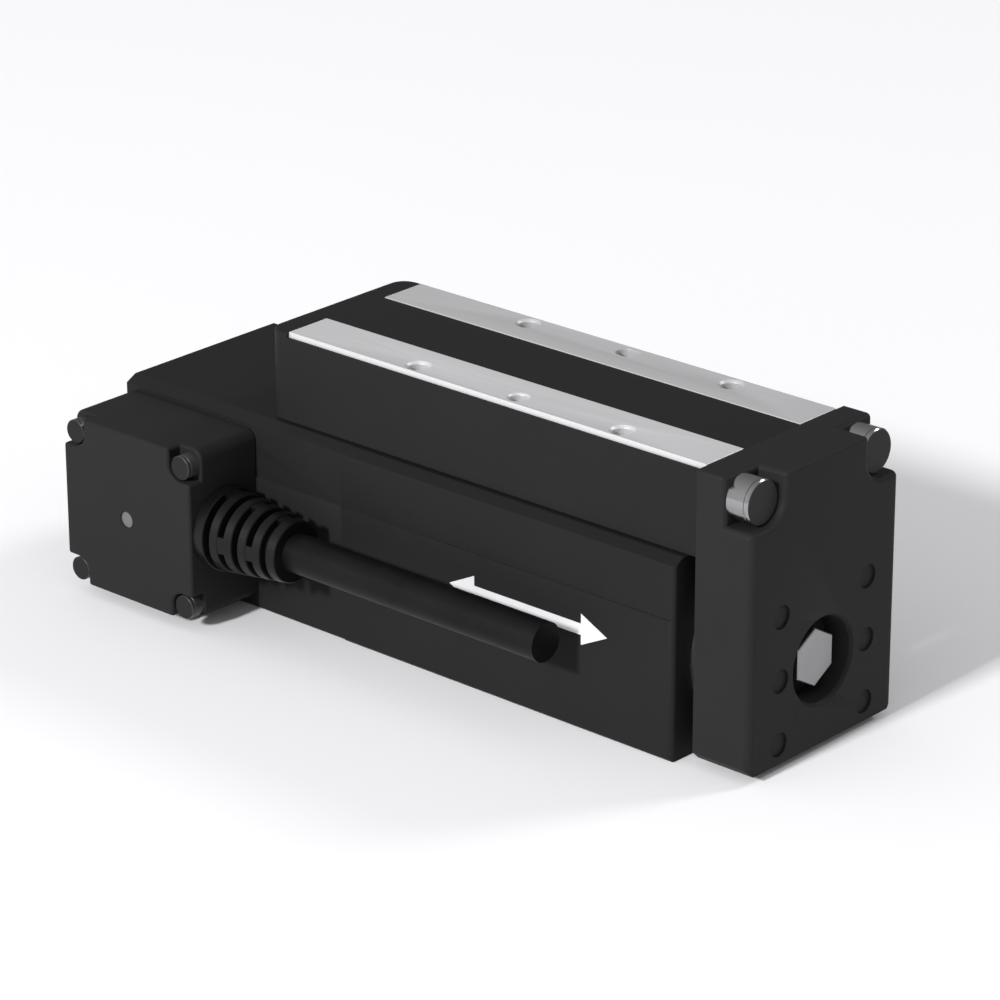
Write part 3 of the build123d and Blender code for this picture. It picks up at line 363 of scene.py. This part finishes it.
def turn_profile(shape, centre, axis, profile, segments=64):
    """Revolve (along, radius) points round a line through the centre; the first and last have
    radius 0. Faces at along 0 take the second material."""
    axis = Vector(axis)
    side = Vector((0, 0, 1))
    other = axis.cross(side)
    rings = []
    for along, radius in profile:
        middle = centre + axis * along
        if radius == 0:
            rings.append([shape.verts.new(middle)])
            continue
        ring = []
        for number in range(segments):
            turn = 2 * math.pi * number / segments
            ring.append(
                shape.verts.new(middle + (side * math.cos(turn) + other * math.sin(turn)) * radius)
            )
        rings.append(ring)
    for number in range(len(rings) - 1):
        first, second = rings[number], rings[number + 1]
        flat = profile[number][0] == 0 and profile[number + 1][0] == 0
        for step in range(segments):
            after = (step + 1) % segments
            if len(first) == 1:
                corners = (first[0], second[after], second[step])
            elif len(second) == 1:
                corners = (first[step], first[after], second[0])
            else:
                corners = (first[step], first[after], second[after], second[step])
            face = shape.faces.new(corners)
            face.material_index = 1 if flat else 0


# ---- screws -------------------------------------------------------------------------------------
RIM_SHARE = 0.05                             # rim bevel and groove depth, against the head's radius
GROOVE_SHARE = 0.03
GROOVE_EDGES = (0.55 * MM, 0.60 * MM, 0.75 * MM, 0.80 * MM)      # behind the head's face
CORNER_HEAD_HEIGHT = 3.8 * MM
CORNER_SHANK = 1.6 * MM
BOX_HEAD_RADIUS = 1.9 * MM
BOX_HEAD_HEIGHT = 2.3 * MM
BOX_SHANK = 1.2 * MM
BOX_HEAD_SEGMENTS = 48
BOLT_HEAD_HEIGHT = 3.5 * MM
BOLT_SHANK = 2.45 * MM
BOLT_BEVEL = 0.15 * MM
BOLT_SEGMENTS = 72
HEX_TURN = math.pi / 3


def head_profile(radius, height, shank, length):
    """Cylinder head with a bevelled rim and a fine groove behind it, then its shank."""
    rim = RIM_SHARE * radius
    groove = GROOVE_SHARE * radius
    start, floor_start, floor_end, end = GROOVE_EDGES
    return [
        (0, 0),
        (0, radius - rim),
        (-rim, radius),
        (-start, radius),
        (-floor_start, radius - groove),
        (-floor_end, radius - groove),
        (-end, radius),
        (-height, radius),
        (-height, shank),
        (-length, shank),
        (-length, 0),
    ]


def make_corner_screws():
    """The two screws in the end plate's top corners."""
    radius = (corner_high.z - corner_low.z) / 2
    height = (corner_high.z + corner_low.z) / 2
    length = corner_high.x - corner_low.x
    profile = head_profile(radius, CORNER_HEAD_HEIGHT, CORNER_SHANK, length)
    shape = bmesh.new()
    for across in (corner_low.y + radius, corner_high.y - radius):
        turn_profile(shape, Vector((corner_high.x, across, height)), (1, 0, 0), profile)
    finish_piece(
        "corner_screw_heads",
        shape,
        "table",
        "corner_screws",
        (head_steel, face_black),
    )


def make_box_screws():
    """The four screws of the driver box."""
    radius = BOX_HEAD_RADIUS
    length = box_screw_high.y - box_screw_low.y
    profile = head_profile(radius, BOX_HEAD_HEIGHT, BOX_SHANK, length)
    shape = bmesh.new()
    for x in (box_screw_low.x + radius, box_screw_high.x - radius):
        for z in (box_screw_low.z + radius, box_screw_high.z - radius):
            face = Vector((x, box_screw_low.y, z))
            turn_profile(shape, face, (0, -1, 0), profile, BOX_HEAD_SEGMENTS)
    finish_piece(
        "box_screw_heads",
        shape,
        "root",
        "driver_box_screws",
        (screw_black, box_black),
    )


def make_rod_bolt():
    """Hexagon bolt: head with a finely bevelled rim, and its shank."""
    flats = (bolt_high.y - bolt_low.y) / 2
    back = bolt_high.x - BOLT_HEAD_HEIGHT
    shape = bmesh.new()
    rings = [[], [], [], [], []]
    for number in range(BOLT_SEGMENTS):
        turn = 2 * math.pi * number / BOLT_SEGMENTS
        from_flat = (turn + HEX_TURN / 2) % HEX_TURN - HEX_TURN / 2
        reach = flats / math.cos(from_flat)
        outward = Vector((0, math.cos(turn), math.sin(turn)))
        middle = Vector((0, 0, AXIS_Z))
        stations = (
            (bolt_low.x, BOLT_SHANK),
            (back, BOLT_SHANK),
            (back, reach),
            (bolt_high.x - BOLT_BEVEL, reach),
            (bolt_high.x, reach - BOLT_BEVEL),
        )
        for ring, (x, radius) in zip(rings, stations):
            ring.append(shape.verts.new(middle + Vector((x, 0, 0)) + outward * radius))
    for first, second in zip(rings, rings[1:]):
        for step in range(BOLT_SEGMENTS):
            after = (step + 1) % BOLT_SEGMENTS
            shape.faces.new((first[step], first[after], second[after], second[step]))
    for ring in (rings[0], rings[-1]):
        shape.faces.new(ring)
    finish_piece(
        "rod_bolt_head",
        shape,
        "table",
        "rod_bolt",
        (bolt_zinc,),
    )


make_corner_screws()
make_box_screws()
make_rod_bolt()


# ---- strain relief ------------------------------------------------------------------------------
RELIEF_FLANGE = 2.0 * MM
RELIEF_PITCH = 2.7 * MM
RELIEF_GAP = 1.15 * MM
RELIEF_SLOTS = 5
RELIEF_TIP = 4.9 * MM
RELIEF_CORE = 4.0 * MM
RELIEF_ROUND = 0.14 * MM
RELIEF_WALL = 0.03 * MM
RELIEF_STEP = 0.1 * MM                       # from the flange ring down to the taper
BRIDGE_HALF = math.radians(13)
BRIDGE_EDGE = 0.006                          # radians between a bridge's side and the slot's floor
FREE_STEPS = 24


def relief_radius(along, length, collar):
    """Outer radius: a straight flange ring, then a taper."""
    if along <= RELIEF_FLANGE:
        return collar
    part = (along - RELIEF_FLANGE) / (length - RELIEF_FLANGE)
    return collar - RELIEF_STEP + (RELIEF_TIP - collar + RELIEF_STEP) * part


def relief_stations(length):
    """(along, inset, slot number or None): each ring of points from the box to the tip."""
    edges = [0.0]
    for number in range(RELIEF_SLOTS):
        start = RELIEF_FLANGE + RELIEF_PITCH * number
        edges += [start, start + RELIEF_GAP]
    edges.append(length)
    stations = []
    for number, (start, end) in enumerate(zip(edges, edges[1:])):
        if number % 2 == 0:
            stations += [
                (start, RELIEF_ROUND, None),
                (start + RELIEF_ROUND, 0.0, None),
                (end - RELIEF_ROUND, 0.0, None),
                (end, RELIEF_ROUND, None),
            ]
        else:
            slot_number = number // 2
            stations += [
                (start + RELIEF_WALL, RELIEF_ROUND, slot_number),
                (end - RELIEF_WALL, RELIEF_ROUND, slot_number),
            ]
    return stations


def make_strain_relief():
    """Slotted rubber sleeve: each slot has two windows, and the next slot's are a quarter turn on."""
    collar = (relief_high.z - relief_low.z) / 2
    begin = box_high.x
    length = relief_high.x - begin
    turns = []
    for quarter in range(4):
        middle = quarter * math.pi / 2
        turns += [middle - BRIDGE_HALF - BRIDGE_EDGE, middle - BRIDGE_HALF]
        turns += [middle - BRIDGE_HALF / 3, middle + BRIDGE_HALF / 3]
        free_start = middle + BRIDGE_HALF + BRIDGE_EDGE
        turns += [middle + BRIDGE_HALF, free_start]
        free = math.pi / 2 - 2 * BRIDGE_HALF - 2 * BRIDGE_EDGE
        turns += [free_start + free * part / FREE_STEPS for part in range(1, FREE_STEPS)]
    shape = bmesh.new()
    rings = []
    for along, inset, slot_number in relief_stations(length):
        outer = relief_radius(along, length, collar)
        ring = []
        for turn in turns:
            radius = outer - inset
            if slot_number is not None:
                bridge = 0 if slot_number % 2 else math.pi / 2
                away = (turn - bridge + math.pi / 2) % math.pi - math.pi / 2
                if abs(away) > BRIDGE_HALF + BRIDGE_EDGE / 2:
                    radius = RELIEF_CORE
            place = (
                begin + along,
                CABLE_ACROSS - radius * math.cos(turn),
                CABLE_HEIGHT + radius * math.sin(turn),
            )
            ring.append(shape.verts.new(place))
        rings.append(ring)
    for first, second in zip(rings, rings[1:]):
        for step in range(len(turns)):
            after = (step + 1) % len(turns)
            shape.faces.new((first[step], first[after], second[after], second[step]))
    for ring in (rings[0], rings[-1]):
        shape.faces.new(ring)
    finish_piece(
        "strain_relief_sleeve",
        shape,
        "root",
        "strain_relief",
        (relief_rubber,),
    )


make_strain_relief()


# ---- screw thread -------------------------------------------------------------------------------
THREAD_LEAD = 4.0 * MM
THREAD_DEPTH = 0.6 * MM
THREAD_STARTS = 2
THREAD_SEGMENTS = 48
THREAD_OFFSET = 9.0 * MM                     # from the stator's front face to the thread
THREAD_FLANKS = (0.32, 0.45, 0.87)           # shares of the pitch: root end, crest start, crest end
THREAD_MERGE = 0.000001
SHAFT_RADIUS = 2.5 * MM


def make_lead_screw():
    """Shaft with a two-start trapezoidal thread in front of the motor."""
    radius = (screw_high.z - screw_low.z) / 2
    thread_start = stack_high.x + THREAD_OFFSET
    shaft_end = screw_low.x - thread_start
    pitch = THREAD_LEAD / THREAD_STARTS
    root = radius - THREAD_DEPTH
    root_end, crest_start, crest_end = THREAD_FLANKS
    profile = [(0.0, root), (root_end, root), (crest_start, radius), (crest_end, radius)]
    shape = bmesh.new()
    turn_profile(
        shape,
        Vector((thread_start, 0, AXIS_Z)),
        (1, 0, 0),
        [(0, 0), (0, SHAFT_RADIUS), (shaft_end, SHAFT_RADIUS), (shaft_end, 0)],
        THREAD_SEGMENTS,
    )
    length = screw_high.x - thread_start
    starts = range(-THREAD_STARTS, math.ceil(length / pitch) + 1)
    rings = []
    for crest in starts:
        for part, reach in profile:
            ring = []
            for number in range(THREAD_SEGMENTS + 1):
                turn = 2 * math.pi * number / THREAD_SEGMENTS
                along = (crest + part) * pitch + THREAD_LEAD * number / THREAD_SEGMENTS
                along = min(max(along, 0.0), length)
                chamfer = radius - THREAD_DEPTH + (length - along)
                here = min(reach, chamfer)
                place = (
                    thread_start + along,
                    here * math.cos(turn),
                    AXIS_Z + here * math.sin(turn),
                )
                ring.append(shape.verts.new(place))
            rings.append(ring)
    for first, second in zip(rings, rings[1:]):
        for step in range(THREAD_SEGMENTS):
            shape.faces.new((first[step], first[step + 1], second[step + 1], second[step]))
    bmesh.ops.remove_doubles(shape, verts=shape.verts, dist=THREAD_MERGE)
    finish_piece(
        "lead_screw_thread",
        shape,
        "screw",
        "lead_screw",
        (rail_steel, rail_steel),
    )


make_lead_screw()


# ---- travel mark --------------------------------------------------------------------------------
def make_travel_mark():
    """Printed double-headed arrow on the body's side: the way the table travels."""
    low_x, high_x = 13.0 * MM, 44.0 * MM
    middle_z = 16.2 * MM
    head = 5.0 * MM
    head_half = 2.5 * MM
    bar_half = 0.9 * MM
    surface = body_low.y
    thickness = 0.04 * MM
    outline = [
        (low_x, middle_z),
        (low_x + head, middle_z - head_half),
        (low_x + head, middle_z - bar_half),
        (high_x - head, middle_z - bar_half),
        (high_x - head, middle_z - head_half),
        (high_x, middle_z),
        (high_x - head, middle_z + head_half),
        (high_x - head, middle_z + bar_half),
        (low_x + head, middle_z + bar_half),
        (low_x + head, middle_z + head_half),
    ]
    shape = bmesh.new()
    front = [shape.verts.new((x, surface - thickness, z)) for x, z in outline]
    back = [shape.verts.new((x, surface + thickness, z)) for x, z in outline]
    shape.faces.new(front)
    shape.faces.new(back)
    for step in range(len(outline)):
        after = (step + 1) % len(outline)
        shape.faces.new((front[step], front[after], back[after], back[step]))
    finish_piece("travel_mark", shape, "root", None, (mark_white,))


make_travel_mark()


# ---- softened housings --------------------------------------------------------------------------
SOFT_ANGLE = math.radians(38)
FLAT_ANGLE = math.radians(0.5)
SOFT_MERGE = 0.0000005
SOFT_NODES = {                               # body, slot, bevel width in mm
    "main_housing": ("root", "anodised_black", 0.10),
    "rear_housing": ("root", "anodised_black", 0.10),
    "driver_box": ("root", "anodised_black", 0.08),
    "slide_table": ("table", "anodised_black", 0.10),
    "end_plate": ("table", "anodised_black", 0.08),
    "near_strip": ("table", "strip_steel", 0.06),
    "far_strip": ("table", "strip_steel", 0.06),
}


def soften(node, body, width):
    """Copy of a CAD piece with its sharp edges broken."""
    source = frame["nodes"][node]
    shape = bmesh.new()
    shape.from_mesh(source.data)
    shape.transform(source.matrix_world)
    bmesh.ops.remove_doubles(shape, verts=shape.verts, dist=SOFT_MERGE)
    bmesh.ops.dissolve_limit(
        shape, angle_limit=FLAT_ANGLE, verts=shape.verts, edges=shape.edges
    )
    piece = finish_piece(
        node + "_soft", shape, body, node, (NODE_MATERIALS[node],)
    )
    bevel = piece.modifiers.new("edges", "BEVEL")
    bevel.width = width * MM
    bevel.segments = 2
    bevel.limit_method = "ANGLE"
    bevel.angle_limit = SOFT_ANGLE
    bevel.use_clamp_overlap = False
    bevel.harden_normals = True


for node, (body, slot_name, width) in SOFT_NODES.items():
    soften(node, body, width)


# ---- floor and light ----------------------------------------------------------------------------
FLOOR_SIZE = 3.0
WORLD_FRONT, WORLD_BACK = 0.80, 0.17
LIGHT_TARGET = (0, 0, 0.02)
KEY_PLACE, KEY_WATTS, KEY_SIZE = (0.0, -2.62, 1.45), 90.0, 0.32
RIM_PLACE, RIM_WATTS, RIM_SIZE = (1.13, 2.07, 1.86), 22.0, 0.7


def make_floor():
    """Plain pale floor."""
    mesh = bpy.data.meshes.new("floor")
    half = FLOOR_SIZE / 2
    corners = [(-half, -half, 0), (half, -half, 0), (half, half, 0), (-half, half, 0)]
    mesh.from_pydata(corners, [], [(0, 1, 2, 3)])
    floor = bpy.data.objects.new("floor", mesh)
    bpy.context.scene.collection.objects.link(floor)
    material, tree, shader = node_material("floor_white", 0.9, specular=0.0)
    where = place_texture(tree)
    tree.links.new(
        ramp(tree, noise(tree, where, 3.0), grey(0.90), grey(0.91)), shader.inputs["Base Color"]
    )
    dress(floor, material)


def make_light(name, place, strength, size):
    """A round area light that points at the object."""
    data = bpy.data.lights.new(name, "AREA")
    data.energy = strength
    data.shape = "DISK"
    data.size = size
    light = bpy.data.objects.new(name, data)
    light.location = place
    light.rotation_mode = "QUATERNION"
    light.rotation_quaternion = (Vector(LIGHT_TARGET) - Vector(place)).to_track_quat("-Z", "Y")
    bpy.context.scene.collection.objects.link(light)


def make_world(front, back):
    """Soft studio surround, brighter on the -Y side than on the +Y side."""
    world = bpy.data.worlds.new("studio")
    world.use_nodes = True
    tree = world.node_tree
    background = tree.nodes["Background"]
    background.inputs["Color"].default_value = (1, 1, 1, 1)
    where = tree.nodes.new("ShaderNodeTexCoord")
    split = tree.nodes.new("ShaderNodeSeparateXYZ")
    span = tree.nodes.new("ShaderNodeMapRange")
    span.inputs["From Min"].default_value = -1.0
    span.inputs["From Max"].default_value = 1.0
    span.inputs["To Min"].default_value = front
    span.inputs["To Max"].default_value = back
    tree.links.new(where.outputs["Generated"], split.inputs["Vector"])
    tree.links.new(split.outputs["Y"], span.inputs["Value"])
    tree.links.new(span.outputs["Result"], background.inputs["Strength"])
    bpy.context.scene.world = world


make_floor()
make_world(WORLD_FRONT, WORLD_BACK)
make_light("key", KEY_PLACE, KEY_WATTS, KEY_SIZE)
make_light("rim", RIM_PLACE, RIM_WATTS, RIM_SIZE)

bpy.context.scene.view_settings.view_transform = "Standard"
